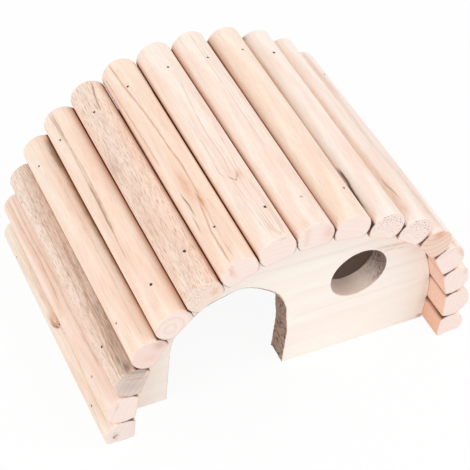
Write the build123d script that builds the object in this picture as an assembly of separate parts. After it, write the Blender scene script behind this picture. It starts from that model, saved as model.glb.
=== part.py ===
from build123d import *
import os
from math import asin, ceil, cos, floor, pi, radians, sin, sqrt

# A hamster house of raw softwood: two arched boards stand on edge, a row of
# planed round sticks, its slats, lies over them like staves, and one brad through
# each slat holds it to each board. It has no floor.
#
# Millimetres. X runs across the house, Y from its front to its rear and Z up.
# The origin is on the ground, in the middle of the house.

# ---- boards -----------------------------------------------------------------
arch_radius = 70.0          # round top of both boards, which the slats lie on
leg_height = 12.0           # straight sides of the boards, below the round top
board_thickness = 10.0
board_inset = 12.5          # from the ends of the slats to a board's outer face

doorway_width = 52.0
doorway_height = 55.0       # to the crown of its half-round head
doorway_x = -25.0           # centre line of the doorway
window_diameter = 25.0
window_x = 31.0
window_z = 43.0

# ---- slats ------------------------------------------------------------------
slat_length = 120.0
slat_diameter = 15.6        # of the round stick that a slat is planed from
slat_planed = 2.8           # planed off it, to give it a flat inner face
slat_arris = 0.5            # eased edge between the flat face and the round back
slat_gap = 0.06             # least gap between neighbours

# ---- brads ------------------------------------------------------------------
brad_diameter = 0.8
brad_length = 20.0
brad_point = 1.4            # length of the tapered point
brad_head_diameter = 1.0
brad_head_thickness = 0.5
brad_sink = 0.4             # the head is punched this far below the surface

# Hand nailing strays. For each slat, from the left foot over the top to the right
# foot: how far its brad lies from the slat's centre line, towards the next slat, and
# from the middle of the board's thickness, towards the rear. A longer row of slats
# starts over.
front_strays = [
    (0.7, -1.6), (2.0, 0.3), (1.6, 0.3), (-2.2, -0.5), (2.1, -1.1), (2.5, 0.4),
    (-0.6, 1.4), (2.1, -0.6), (-1.0, -2.2), (0.4, -2.0), (1.2, 0.8), (-1.4, -0.7),
    (0.6, 1.5), (-0.8, -1.2), (1.5, 0.5), (-1.1, 1.0), (0.5, -0.9),
]
rear_strays = [
    (-0.9, 1.1), (-1.9, 2.0), (-1.7, 2.4), (0.8, 2.4), (-1.2, 1.6), (0.3, -0.5),
    (0.0, 0.5), (1.0, 0.4), (0.8, -1.1), (0.6, 0.9), (-0.7, 0.5), (0.9, -1.3),
    (-1.3, 0.7), (1.4, -0.4), (-0.5, 1.7), (0.7, -0.8), (-0.4, 1.2),
]

# ---- places that follow from the sizes ---------------------------------------
board_y = slat_length / 2 - board_inset - board_thickness / 2
slat_radius = slat_diameter / 2
slat_height = slat_diameter - slat_planed
slat_spacing = slat_diameter + slat_gap
stick_arch_radius = arch_radius + slat_height - slat_radius
least_pitch = 2 * asin(slat_spacing / 2 / stick_arch_radius)
arch_slats = floor(pi / least_pitch)
slat_pitch = 180 / arch_slats
leg_slats = ceil(leg_height / slat_spacing)

OUTWARD_LEFT = 180.0
OUTWARD_RIGHT = 0.0


def outward(angle):
    """Unit vector across the house, at this angle above +X."""
    return Vector(cos(radians(angle)), 0, sin(radians(angle)))


def along_edge(angle):
    """Unit vector along the board's edge, a quarter turn on from outward."""
    return Vector(-sin(radians(angle)), 0, cos(radians(angle)))


def leg_seat(side_angle, row):
    """Seat of one slat on a straight leg, counted down from the round top."""
    side = outward(side_angle)
    height = leg_height - (row + 0.5) * slat_spacing
    return side * arch_radius + Vector(0, 0, height), side_angle


def arch_seat(row):
    """Seat of one slat on the round top, counted from the left."""
    angle = OUTWARD_LEFT - (row + 0.5) * slat_pitch
    return Vector(0, 0, leg_height) + outward(angle) * arch_radius, angle


def slat_seats():
    """Seats from the left foot over the top to the right foot: the middle of
    each slat's flat inner face, and the angle that its back faces."""
    left = [leg_seat(OUTWARD_LEFT, row) for row in reversed(range(leg_slats))]
    top = [arch_seat(row) for row in range(arch_slats)]
    right = [leg_seat(OUTWARD_RIGHT, row) for row in range(leg_slats)]
    return left + top + right


def above_ground(shape):
    """The part of a shape that is left when its foot is sawn off level."""
    return split(shape, bisect_by=Plane.XY, keep=Keep.TOP)


# ---- slats ------------------------------------------------------------------
def slat_section():
    """Section of a planed stick: flat inner face on X, crown towards +Y."""
    half = sqrt(slat_radius ** 2 - (slat_radius - slat_planed) ** 2)
    face = Line((-half, 0), (half, 0))
    back = ThreePointArc((half, 0), (0, slat_height), (-half, 0))
    section = make_face([face, back])
    return fillet(section.vertices(), slat_arris)


def slat_at(seat, angle):
    """One slat on its seat, sawn off level with the ground where it crosses it."""
    start = seat - Vector(0, slat_length / 2, 0)
    place = Plane(origin=start, x_dir=along_edge(angle), z_dir=(0, 1, 0))
    return above_ground(place * extrude(slat_section(), slat_length))


# ---- brads ------------------------------------------------------------------
def brad_shape():
    """A brad with its tip at the origin and its head towards +Z."""
    shank = brad_diameter / 2
    head = brad_head_diameter / 2
    under_head = brad_length - brad_head_thickness
    outline = Polyline(
        (0, 0), (shank, brad_point), (shank, under_head), (head, under_head),
        (head, brad_length), (0, brad_length), close=True,
    )
    return revolve(Plane.XZ * make_face(outline), Axis.Z)


def punch_hole():
    """The hole above a brad's head, out past the slat's back."""
    hole = Cylinder(brad_head_diameter / 2, slat_radius,
                    align=(Align.CENTER, Align.CENTER, Align.MIN))
    return Pos(0, 0, brad_length) * hole


def brad_place(seat, angle, board_centre_y, stray):
    """Where a brad's tip lies and which way it points. In a foot slat it keeps to
    the middle of what the saw left."""
    to_next_slat, to_rear = stray
    sawn_off = max(0, slat_radius - seat.Z)
    upward = along_edge(angle).Z
    off_centre = upward * sawn_off / 2 - to_next_slat
    back_height = slat_height - slat_radius + sqrt(slat_radius ** 2 - off_centre ** 2)
    tip = (
        seat
        + along_edge(angle) * off_centre
        + outward(angle) * (back_height - brad_sink - brad_length)
        + Vector(0, board_centre_y + to_rear, 0)
    )
    return Plane(origin=tip, x_dir=(0, 1, 0), z_dir=outward(angle))


# ---- boards -----------------------------------------------------------------
def arch_outline():
    """The outer edge of both boards: straight legs under a half circle."""
    legs = Pos(0, leg_height / 2) * Rectangle(2 * arch_radius, leg_height)
    top = Pos(0, leg_height) * Circle(arch_radius)
    below = Pos(0, -arch_radius) * Rectangle(4 * arch_radius, 2 * arch_radius)
    return legs + (top - below)


def doorway_outline():
    """A doorway with upright sides and a half-round head, open to the ground."""
    half = doorway_width / 2
    spring = doorway_height - half
    sides = Pos(doorway_x, spring / 2) * Rectangle(doorway_width, spring)
    return sides + Pos(doorway_x, spring) * Circle(half)


def board_at(outline, centre_y):
    """A board of this outline, on edge, with its thickness about centre_y."""
    upright = Plane(origin=(0, centre_y, 0), x_dir=(1, 0, 0), z_dir=(0, -1, 0))
    return upright * extrude(outline, board_thickness / 2, both=True)


def brad_places(seats, board_centre_y, strays):
    """A place for one brad in each slat, over one board."""
    return [
        brad_place(seat, angle, board_centre_y, strays[row % len(strays)])
        for row, (seat, angle) in enumerate(seats)
    ]


# ---- assembly ---------------------------------------------------------------
seats = slat_seats()
front_places = brad_places(seats, -board_y, front_strays)
rear_places = brad_places(seats, board_y, rear_strays)

front_brads = [place * brad_shape() for place in front_places]
rear_brads = [place * brad_shape() for place in rear_places]

window_outline = Pos(window_x, window_z) * Circle(window_diameter / 2)
front_board = board_at(arch_outline() - doorway_outline() - window_outline, -board_y)
front_board -= front_brads
rear_board = board_at(arch_outline(), board_y) - rear_brads

nodes = {
    "front_board": front_board,
    "rear_board": rear_board,
    "front_brads": Compound(front_brads),
    "rear_brads": Compound(rear_brads),
}
for row, seat in enumerate(seats):
    slat = slat_at(*seat)
    for place in (front_places[row], rear_places[row]):
        slat -= place * (brad_shape() + punch_hole())
    nodes[f"slat_{row + 1:02d}"] = slat

os.makedirs("parts", exist_ok=True)
for name, shape in nodes.items():
    export_step(shape, f"parts/{name}.step")
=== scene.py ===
"""A hamster house of raw softwood: planed round sticks nailed over two arched boards."""

import math
from collections import namedtuple

import bpy
import numpy as np
from mathutils import Matrix, Vector
from mathutils.geometry import delaunay_2d_cdt


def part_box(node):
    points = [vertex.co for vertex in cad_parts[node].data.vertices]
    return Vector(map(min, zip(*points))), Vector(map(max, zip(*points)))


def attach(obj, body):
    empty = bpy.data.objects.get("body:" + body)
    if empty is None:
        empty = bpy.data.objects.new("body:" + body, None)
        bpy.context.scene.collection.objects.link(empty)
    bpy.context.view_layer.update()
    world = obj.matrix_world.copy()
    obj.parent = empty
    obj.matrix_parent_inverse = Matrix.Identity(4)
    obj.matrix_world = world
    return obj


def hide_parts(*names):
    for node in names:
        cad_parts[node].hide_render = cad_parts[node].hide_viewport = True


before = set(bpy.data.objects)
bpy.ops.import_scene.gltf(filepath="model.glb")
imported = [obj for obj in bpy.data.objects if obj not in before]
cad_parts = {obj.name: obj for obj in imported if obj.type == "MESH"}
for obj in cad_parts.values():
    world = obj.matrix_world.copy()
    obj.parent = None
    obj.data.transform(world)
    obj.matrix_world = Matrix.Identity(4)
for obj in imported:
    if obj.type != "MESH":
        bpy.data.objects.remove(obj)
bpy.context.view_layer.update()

bl_info = {
    "name": "Hamster House",
    "version": (1, 0, 0),
    "blender": (4, 5, 0),
    "location": "View3D > Sidebar > Hamster House",
    "description": "Dresses the hamster house in raw, hand-nailed softwood",
    "category": "Add Mesh",
}

MM = 0.001
SLAT_NAMES = sorted(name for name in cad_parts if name.startswith("slat_"))

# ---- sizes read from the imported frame, in metres ------------------------------
board_low, board_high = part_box("rear_board")
slat_low, slat_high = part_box(SLAT_NAMES[len(SLAT_NAMES) // 2])

ARCH_RADIUS = (board_high.x - board_low.x) / 2
LEG_HEIGHT = board_high.z - ARCH_RADIUS
BOARD_THICKNESS = board_high.y - board_low.y
FRONT_BOARD_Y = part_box("front_board")[0].y
REAR_BOARD_Y = board_low.y
SLAT_LENGTH, SLAT_WIDTH, SLAT_HEIGHT = (
    slat_high.y - slat_low.y, slat_high.x - slat_low.x, slat_high.z - slat_low.z)
SLAT_CENTRE = SLAT_HEIGHT - SLAT_WIDTH / 2      # of its round back, up from its flat inner face
FOOT_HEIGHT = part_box(SLAT_NAMES[0])[1].z
ARCH_SLATS = len(SLAT_NAMES) - 2

# ---- how far apart the points of the meshes lie --------------------------------
BRAD_STEP = 0.15 * MM       # about each brad's hole
BACK_STEP = 0.27 * MM       # round a slat's back
LONG_STEP = 0.9 * MM        # along the slats, on their flat faces and round the boards
WINDOW_STEP = 0.45 * MM
FACE_STEP = 0.95 * MM       # on the faces of the boards


def linear(hex_colour):
    """A #rrggbb colour as linear red, green, blue and an alpha of one."""
    parts = [int(hex_colour[i:i + 2], 16) / 255 for i in (1, 3, 5)]
    return [c / 12.92 if c <= 0.04045 else ((c + 0.055) / 1.055) ** 2.4 for c in parts] + [1.0]


# ==== what a user may change ====================================================
def length(name, default, description):
    """A length setting, shown in the scene's units."""
    return bpy.props.FloatProperty(
        name=name, description=description, default=default, min=0.0,
        subtype="DISTANCE", unit="LENGTH", precision=5,
    )


def tint(name, default, description):
    """A colour setting, given as #rrggbb."""
    return bpy.props.FloatVectorProperty(
        name=name, description=description, default=linear(default)[:3],
        size=3, min=0.0, max=1.0, subtype="COLOR",
    )


def bearing(name, default, description):
    """An angle setting, given in degrees."""
    return bpy.props.FloatProperty(
        name=name, description=description, default=math.radians(default),
        subtype="ANGLE", unit="ROTATION",
    )


def quantity(name, default, description):
    """A plain number, zero or more."""
    return bpy.props.FloatProperty(
        name=name, description=description, default=default, min=0.0,
    )


class SlatSizes(bpy.types.PropertyGroup):
    """How the planed round sticks are finished and how far they stray from true."""

    arris: length("Arris", 0.5 * MM, "Eased edge along the flat inner face")
    end_chamfer: length("End chamfer", 0.35 * MM, "Worn edge round the sawn ends")
    foot_wear: length("Foot wear", 1.3 * MM, "Reach of the worn corners at the sawn feet")
    end_stray: length("End stray", 0.7 * MM, "How far the sawn ends stray from square")
    wobble: length("Wobble", 0.2 * MM, "How far the round back strays from true")
    punch_depth: length("Punch depth", 0.42 * MM, "How deep the brads' heads are sunk")
    punch_radius: length("Punch radius", 0.52 * MM, "Radius of the hole above a brad's head")


class BoardSizes(bpy.types.PropertyGroup):
    """Openings of the front board and the finish of its sawn edges."""

    doorway_x: length("Doorway centre", -25.0 * MM, "Centre line of the doorway")
    doorway_width: length("Doorway width", 52.0 * MM, "Width of the doorway")
    doorway_height: length("Doorway height", 55.0 * MM, "Height of the doorway's crown")
    window_x: length("Window centre", 31.0 * MM, "Window's centre across the house")
    window_z: length("Window height", 43.0 * MM, "Window's centre above the ground")
    window_radius: length("Window radius", 12.5 * MM, "Radius of the round window")
    right_stray: length("Right stray", 1.6 * MM, "Wood left at the doorway's right shoulder")
    left_stray: length("Left stray", 1.3 * MM, "Wood left at the doorway's left shoulder")
    arris: length("Arris", 0.3 * MM, "Worn edge round the boards")
    saw_marks: length("Saw marks", 0.3 * MM, "Depth of the marks on the sawn edges")


class WoodTints(bpy.types.PropertyGroup):
    """Stains, tones and painted shade that all the pieces share."""

    # vein also paints shade in a few marks: on the fourth stick's side, and on the front board right of
    # the window and down its right edge.
    vein: tint("Vein", "#ab733f", "Brown veins and mineral streaks")
    weather: tint("Weathered", "#8f7462", "Greyed, weathered fibres")
    resin: tint("Resin", "#d98c58", "Orange heartwood and resin")
    # crack also paints shade: in the punched holes, together with the brads' stain, and in the joints
    # near the sticks' front ends.
    crack: tint("Crack", "#2c1a13", "Drying cracks and punched holes")
    # The side and joint tints are painted shade: warm on the sticks' sides deep in the joints, and dark
    # at the bottom of the joints.
    side: tint("Side", "#e29d78", "Sides of the sticks, down in the joints")
    painted_joint_shade: tint("Joint", "#8a4227", "Dust and shade at the bottom of the joints")
    blush: tint("Blush", "#f6cdb8", "Pink heartwood in broad soft stretches")
    board: tint("Board", "#fff9f1", "Planed face of the boards")
    bored: tint("Bored edge", "#ffeee2", "Wall of the round window")
    sawn: tint("Sawn edge", "#c0a594", "Rough wall of the doorway")
    # torn also paints shade, at the upper right of the window's wall and along the doorway's arch.
    torn: tint("Torn fibres", "#553226", "Torn fibres in the sawn walls")
    steel: tint("Steel", "#37312e", "Dull steel of the brads")


class StudioSettings(bpy.types.PropertyGroup):
    """Camera and lamps."""

    azimuth: bearing("Azimuth", -30.73, "Camera's turn round the house, 0 looks along +Y")
    elevation: bearing("Elevation", 45.46, "Camera's angle above the horizon")
    roll: bearing("Roll", 7.16, "Camera's turn about its own axis")
    distance: length("Distance", 561.4 * MM, "From the camera to the point it aims at")
    aim: bpy.props.FloatVectorProperty(
        name="Aim", description="Point that the camera looks at",
        default=(-5.14 * MM, -7.69 * MM, 40.0 * MM), subtype="XYZ", unit="LENGTH",
    )
    lens: quantity("Lens", 104.2, "Focal length in millimetres")
    sky: quantity("Sky", 0.74, "Strength of the white surround")
    key: quantity("Key", 5.3, "Power of the soft lamp at the upper right in watts")
    fill: quantity("Fill", 5.7, "Power of the soft lamp at the left front in watts")
    paper_glow: quantity("Paper glow", 0.93, "How much of the paper's own white the camera sees")


# ==== numbers for shapes ========================================================
def smooth_noise(a, b, seed):
    """Smooth random surface between -1 and 1: random heights on a lattice of unit
    cells, eased between the four nearest by the 3t^2 - 2t^3 curve in each way."""
    size = 64
    lattice = np.random.RandomState(seed).uniform(-1, 1, (size, size))
    a, b = np.broadcast_arrays(np.asarray(a, float), np.asarray(b, float))
    cell_a, cell_b = np.floor(a).astype(int), np.floor(b).astype(int)
    ease_a, ease_b = a - cell_a, b - cell_b
    ease_a = ease_a * ease_a * (3 - 2 * ease_a)
    ease_b = ease_b * ease_b * (3 - 2 * ease_b)
    low_a, low_b = cell_a % size, cell_b % size
    high_a, high_b = (cell_a + 1) % size, (cell_b + 1) % size
    near = lattice[low_a, low_b] * (1 - ease_b) + lattice[low_a, high_b] * ease_b
    far = lattice[high_a, low_b] * (1 - ease_b) + lattice[high_a, high_b] * ease_b
    return near * (1 - ease_a) + far * ease_a


def ease(value, start, end):
    """0 up to start, 1 from end on, and the 3t^2 - 2t^3 curve between."""
    t = np.clip((value - start) / (end - start), 0, 1)
    return t * t * (3 - 2 * t)


def arc(centre, radius, first, last, step):
    """Points on a circle's arc between two angles in radians, a step apart."""
    count = max(2, int(abs(last - first) * radius / step) + 1)
    angle = np.linspace(first, last, count)
    return np.stack([centre[0] + radius * np.cos(angle), centre[1] + radius * np.sin(angle)], 1)


def line(first, last, step):
    """Points on a straight line, a step apart."""
    span = np.hypot(last[0] - first[0], last[1] - first[1])
    share = np.linspace(0, 1, max(2, int(span / step) + 1))[:, None]
    return np.asarray(first) * (1 - share) + np.asarray(last) * share


def spaced(span, places, reach, fine, coarse):
    """Positions from 0 to span: a coarse step apart, and a fine step apart within
    reach of each place. They are read off at even steps of the sum of 1 / step."""
    probe = np.linspace(0, span, 3000)
    near = np.abs(probe[:, None] - np.asarray(places)[None, :]).min(1) < reach
    density = np.where(near, 1 / fine, 1 / coarse)
    count = np.concatenate([[0], np.cumsum((density[1:] + density[:-1]) / 2 * np.diff(probe))])
    return np.interp(np.linspace(0, count[-1], int(count[-1]) + 1), count, probe)


def one_loop(stretches):
    """Joins stretches of points into one closed loop without doubles."""
    least_gap = 1e-7
    points = np.concatenate(stretches)
    gap = np.linalg.norm(points - np.roll(points, 1, 0), axis=1)
    return points[gap > least_gap]


def edge_normals(loop):
    """Unit normals of a counter-clockwise loop, pointing out of it: each is the
    mean of its two edges' normals, lengthened at corners so that an inset by it
    keeps its distance from both edges."""
    along = np.roll(loop, -1, 0) - loop
    along /= np.linalg.norm(along, axis=1, keepdims=True)
    after = np.stack([along[:, 1], -along[:, 0]], 1)
    before = np.roll(after, 1, 0)
    dot = (after * before).sum(1, keepdims=True)
    return (after + before) / (1 + dot)


# ==== meshes ====================================================================
def tube_quads(rows, columns, start=0):
    """Quads between rings of points, numbered ring by ring from start. They face
    out where each ring runs counter-clockwise in (x, z) and the next lies at a
    larger y."""
    first = np.arange(columns)
    after = (first + 1) % columns
    ring = start + (np.arange(rows - 1) * columns)[:, None]
    corners = [ring + first, ring + columns + first, ring + columns + after, ring + after]
    return np.stack(corners, 2).reshape(-1, 4)


def placed(name, data):
    """An object that shows this data, in the scene."""
    thing = bpy.data.objects.new(name, data)
    bpy.context.scene.collection.objects.link(thing)
    return thing


def mesh_object(name, points, quads, triangles, attributes, material):
    """Makes a mesh object from points and faces, with its attributes by name and
    its material. It is smooth except where faces meet at a sharp edge."""
    sharp = math.radians(35)
    mesh = bpy.data.meshes.new(name)
    mesh.from_pydata(points.tolist(), [], quads.tolist() + triangles.tolist())
    for label, values in attributes.items():
        kind, field = {1: ("FLOAT", "value"), 3: ("FLOAT_VECTOR", "vector"),
                       4: ("FLOAT_COLOR", "color")}[values.shape[1]]
        layer = mesh.attributes.new(label, kind, "POINT")
        layer.data.foreach_set(field, np.ascontiguousarray(values, np.float32).ravel())
    mesh.polygons.foreach_set("use_smooth", np.ones(len(mesh.polygons), bool))
    mesh.set_sharp_from_angle(angle=sharp)
    mesh.materials.append(material)
    mesh.validate(clean_customdata=False)
    mesh.update()
    return placed(name, mesh)


def dress(piece, node):
    """The piece stands for a CAD node: it hangs from the root's empty, and the node is hidden."""
    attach(piece, "root")
    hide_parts(node)


# ==== nodes =====================================================================
def add(tree, kind, inputs=None, ramp=(), **settings):
    """Adds one shader node with its settings. Inputs are by name or number, and each
    is a value, another node's output, or a node, which stands for its first output.
    A Math node's inputs are 0, 1 and 2. A Map Range node's are 0 for what it reads, 1
    and 2 for the stretch it reads and 3 and 4 for what it makes of that. ramp gives
    the stops of a colour ramp: where each is, and its grey."""
    node = tree.nodes.new("ShaderNode" + kind)
    for key, value in settings.items():
        setattr(node, key, value)
    stops = node.color_ramp.elements if ramp else []
    while len(stops) < len(ramp):
        stops.new(0.5)
    for stop, (position, grey) in zip(stops, ramp):
        stop.position = position
        stop.color = (grey, grey, grey, 1)
    for key, value in (inputs or {}).items():
        if isinstance(value, bpy.types.Node):
            value = value.outputs[0]
        if isinstance(value, bpy.types.NodeSocket):
            tree.links.new(value, node.inputs[key])
        else:
            node.inputs[key].default_value = value
    return node


def new_material(name):
    """An empty node material and its tree."""
    material = bpy.data.materials.new(name)
    material.use_nodes = True
    material.node_tree.nodes.clear()
    return material, material.node_tree


def coats(tree, ground, layers):
    """Lays colours over a ground colour, one over another. Each layer says which
    pattern it follows, how strongly it shows, and its colour."""
    under, over, mixed = 6, 7, 2
    for pattern, strength, colour in layers:
        amount = add(tree, "Math", {0: pattern, 1: strength}, operation="MULTIPLY", use_clamp=True)
        mix = add(tree, "Mix", {0: amount, under: ground, over: colour}, data_type="RGBA")
        ground = mix.outputs[mixed]
    return ground


def degrees(first, second):
    """A turn about the first two axes, given in degrees."""
    return math.radians(first), math.radians(second), 0


def fibres(tree, grain, across, along, low, high, detail=2.0, through=None, lean=(0, 0)):
    """Spots drawn out along the grain: noise with cells of these millimetres,
    where low and less is none of it and high and more is all of it. through is their
    size in the second way across the grain, where it isn't the same, and lean turns
    them off the grain by degrees."""
    cells = add(tree, "Mapping", {
        "Vector": grain, "Rotation": degrees(*lean),
        "Scale": tuple(size * MM for size in (across, through or across, along))},
        vector_type="TEXTURE")
    noise = add(tree, "TexNoise", {"Vector": cells, "Scale": 1.0, "Detail": detail})
    return add(tree, "MapRange", {0: noise, 1: low, 2: high})


def late_wood(tree, grain, pith, lean, ring, sway):
    """The dark late wood of each year's growth: rings about the pith, which lies
    off to one side by millimetres and leans by degrees. A soft noise, five times as
    long along the grain as across it, sways them by up to sway millimetres."""
    ring_of_scale_one = 0.31416
    cell = 11 * MM
    heart = add(tree, "Mapping", {
        "Vector": grain, "Location": (pith[0] * MM, pith[1] * MM, 0),
        "Rotation": degrees(*lean)}, vector_type="POINT")
    cells = add(tree, "Mapping", {
        "Vector": heart, "Scale": (1 / cell, 1 / cell, 1 / (5 * cell))}, vector_type="POINT")
    drift = add(tree, "TexNoise", {"Vector": cells, "Scale": 1.0, "Detail": 1.5})
    swayed = add(tree, "VectorMath", {
        0: drift.outputs["Color"], 1: (sway * MM, sway * MM, 0), 2: heart}, operation="MULTIPLY_ADD")
    years = add(tree, "TexWave", {
        "Vector": swayed, "Scale": ring_of_scale_one / (ring * MM), "Distortion": 0.0},
        wave_type="RINGS", rings_direction="Z", wave_profile="SAW")
    return add(tree, "ValToRGB", {0: years.outputs["Fac"]},
               ramp=[(0.0, 0.0), (0.5, 0.1), (0.9, 1.0), (1.0, 0.0)])


def stains(marks, dash, tints):
    """Layers for the marks that a piece has in its own places, some of them painted shade,
    broken up into the dashes of its pores: resin, weathering, veins and, last and unbroken, cracks."""
    tree = marks.id_data
    parts = add(tree, "SeparateColor", {0: marks.outputs["Color"]}).outputs
    grip = add(tree, "MapRange", {0: dash, 3: 0.55, 4: 1.25})
    layers = []
    for channel, shade in (("Blue", "resin"), ("Green", "weather"), ("Red", "vein")):
        broken = add(tree, "Math", {0: parts[channel], 1: grip}, operation="MULTIPLY")
        layers.append((broken, 1.0, tints[shade]))
    return [*layers, (marks.outputs["Alpha"], 1.0, tints["crack"])]


def wood_data(tree):
    """What each piece of wood brings along on its points: its place in the grain,
    how much it is cut across the grain, and its own marks."""
    grain, cut, marks = [add(tree, "Attribute", attribute_name=name)
                         for name in ("grain", "cut", "marks")]
    return grain.outputs["Vector"], cut.outputs["Fac"], marks


def bare_wood(tree, colour, rough, relief, strength, depth):
    """Bare, dry wood: hardly any gloss, and a relief too fine for the mesh."""
    bump = add(tree, "Bump", {"Strength": strength, "Distance": depth, "Height": relief})
    surface = add(tree, "BsdfPrincipled", {
        "Base Color": colour, "Roughness": rough, "Normal": bump,
        "IOR": 1.45, "Specular IOR Level": 0.3})
    add(tree, "OutputMaterial", {"Surface": surface})


def painted_shade_of_joints(tree, up, share_up, along, joint_top):
    """Masks for the shade painted into a stick's joints: warm shade deep down its sides, dark
    shade in the joint itself up to joint_top of its height, and darker shade near its front end."""
    deep = add(tree, "MapRange", {0: up, 1: 8.6 * MM, 2: 6.0 * MM}, interpolation_type="SMOOTHSTEP")
    painted_joint_shade = add(tree, "ValToRGB", {0: share_up}, ramp=[
        (0.02, 0.0), (0.1, 0.8), (0.32, 1.0), (joint_top - 0.07, 1.0), (joint_top, 0.0)])
    near_front = add(tree, "MapRange", {0: along, 1: 9 * MM, 2: 2 * MM},
                     interpolation_type="SMOOTHSTEP")
    return deep, painted_joint_shade, add(tree, "Math", {0: painted_joint_shade, 1: near_front}, operation="MULTIPLY")


def raw_softwood(name, stock, tints):
    """Raw planed softwood, fir or poplar, never oiled: pale peach early wood, faint
    late-wood lines round the pith, short fibres that catch the light, and no gloss.
    stock says what kind of stick it was: its tones and how strong each mark is."""
    material, tree = new_material(name)
    grain, cut, marks = wood_data(tree)
    _, up, along = add(tree, "SeparateXYZ", {0: grain}).outputs

    rings = late_wood(tree, grain, stock["pith"], stock["lean"], stock["ring"], sway=1.6)
    fibre = fibres(tree, grain, 0.6, 9, 0.35, 0.68, detail=3.0)
    mottle = fibres(tree, grain, 5, 34, 0.35, 0.65)
    blush = fibres(tree, grain, 9, 50, 0.5, 0.72, detail=3.0)
    threads = fibres(tree, grain, 1.0, 60, 0.6, 0.66)
    dash = fibres(tree, grain, 0.35, 4.5, 0.34, 0.66)
    pores = fibres(tree, grain, stock["pore_width"], 2 * stock["pore_length"],
                   stock["pore_rarity"], stock["pore_rarity"] + 0.06, detail=1.0)
    speck = fibres(tree, grain, 0.7, 1.0, 0.56, 0.64, detail=3.0)
    broken = add(tree, "MapRange", {0: fibre, 3: 0.3, 4: 1.3})
    late = add(tree, "Math", {0: rings, 1: broken}, operation="MULTIPLY")

    share_up = add(tree, "Math", {0: up, 1: SLAT_HEIGHT}, operation="DIVIDE")
    speck = add(tree, "Math", {0: speck, 1: share_up}, operation="MULTIPLY")
    deep, painted_joint_shade, painted_front_shade = painted_shade_of_joints(tree, up, share_up, along, stock["joint_top"])

    late_tone = linear(stock["late"])
    back = coats(tree, linear(stock["early"]), [
        (mottle, 0.8, linear(stock["warm"])), (blush, 0.5, tints["blush"]),
        (late, stock["rings"], late_tone), (threads, stock["threads"], late_tone),
        (fibre, stock["fibre"], late_tone), (pores, stock["pores"], tints["vein"]),
        # The last three coats are painted shade: warm on the sides deep in the joints, dark in the
        # joints up to joint_top, and darker in the joints near the front end.
        (deep, stock["side"], tints["side"]), (painted_joint_shade, stock["painted_joint_shade"], tints["painted_joint_shade"]),
        (painted_front_shade, 0.7, tints["crack"])])
    end = coats(tree, linear(stock["end"]), [
        (rings, stock["end_rings"], late_tone), (speck, stock["specks"], tints["torn"])])
    colour = coats(tree, back, [(cut, 1.0, end), *stains(marks, dash, tints)])

    relief = add(tree, "Math", {0: pores, 1: -0.5, 2: fibre}, operation="MULTIPLY_ADD")
    relief = add(tree, "Math", {0: relief, 1: late}, operation="ADD")
    rough = add(tree, "MapRange", {0: fibre, 3: 0.62, 4: 0.8})
    bare_wood(tree, colour, rough, relief, 0.35, 0.06 * MM)
    return material


def bored_wall(tree, grain, height, across, tints):
    """The window's wall, pale where the bit cut it clean, with painted shade and the
    bit's score marks towards its upper right."""
    scored = fibres(tree, grain, 0.5, 3.4, 0.49, 0.59, detail=3.0, lean=(-24, 45))
    # Shade is painted on the wall towards its upper right, where less light falls.
    up_right = add(tree, "Math", {0: across, 1: 0.7, 2: height}, operation="MULTIPLY_ADD")
    painted_bore_shade = add(tree, "MapRange", {0: up_right, 1: 56 * MM, 2: 75 * MM},
                   interpolation_type="SMOOTHSTEP")
    hold = add(tree, "MapRange", {0: painted_bore_shade, 3: 0.06, 4: 1.0})
    scored = add(tree, "Math", {0: scored, 1: hold}, operation="MULTIPLY")
    return coats(tree, tints["bored"], [
        (painted_bore_shade, 0.74, tints["torn"]), (scored, 0.8, tints["torn"])])


def sawn_board(name, tints):
    """Planed softwood board with rough jigsawn edges: a cream face with level,
    faint growth lines, and grey-brown end grain where it was sawn."""
    material, tree = new_material(name)
    grain, cut, marks = wood_data(tree)
    height, _, across = add(tree, "SeparateXYZ", {0: grain}).outputs

    late = late_wood(tree, grain, (-20, 55), (1.5, -1.0), 6.5, sway=7.0)
    fibre = fibres(tree, grain, 0.5, 12, 0.35, 0.68, detail=3.0)
    mottle = fibres(tree, grain, 9, 60, 0.3, 0.7)
    tear = fibres(tree, grain, 0.7, 1.0, 0.53, 0.59, detail=3.0, through=2.4)
    dash = fibres(tree, grain, 0.6, 3.0, 0.38, 0.62)
    face = coats(tree, tints["board"], [
        (mottle, 0.6, linear("#fff0e5")), (late, 0.05, linear("#dcae94")),
        (fibre, 0.05, linear("#dcb398"))])

    # The saw tore the doorway's wall, and a thin line of shade is painted along its arch.
    rough_sawn = coats(tree, tints["sawn"], [(tear, 0.75, tints["torn"])])
    rim = add(tree, "ValToRGB", {0: cut}, ramp=[(0.38, 0.0), (0.46, 1.0), (0.54, 1.0), (0.6, 0.0)])
    arched = add(tree, "MapRange", {0: height, 1: 38 * MM, 2: 46 * MM})
    painted_arch_shade = add(tree, "Math", {0: rim, 1: arched}, operation="MULTIPLY")
    jigsawn = add(tree, "MapRange", {0: cut, 1: 0.6, 2: 0.9})
    bored = bored_wall(tree, grain, height, across, tints)
    edge = coats(tree, bored, [(jigsawn, 1.0, rough_sawn)])
    rough_cut = add(tree, "MapRange", {0: cut, 1: 0.35, 2: 0.6})
    colour = coats(tree, face, [
        (rough_cut, 1.0, edge), (painted_arch_shade, 0.65, tints["torn"]), *stains(marks, dash, tints)])

    relief = add(tree, "Math", {0: fibre, 1: late}, operation="ADD")
    relief = add(tree, "Mix", {0: cut, 2: relief, 3: tear}, data_type="FLOAT")
    depth = add(tree, "MapRange", {0: cut, 3: 0.04 * MM, 4: 0.2 * MM})
    rough = add(tree, "MapRange", {0: cut, 3: 0.68, 4: 0.9})
    bare_wood(tree, colour, rough, relief, 0.4, depth)
    return material


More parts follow.
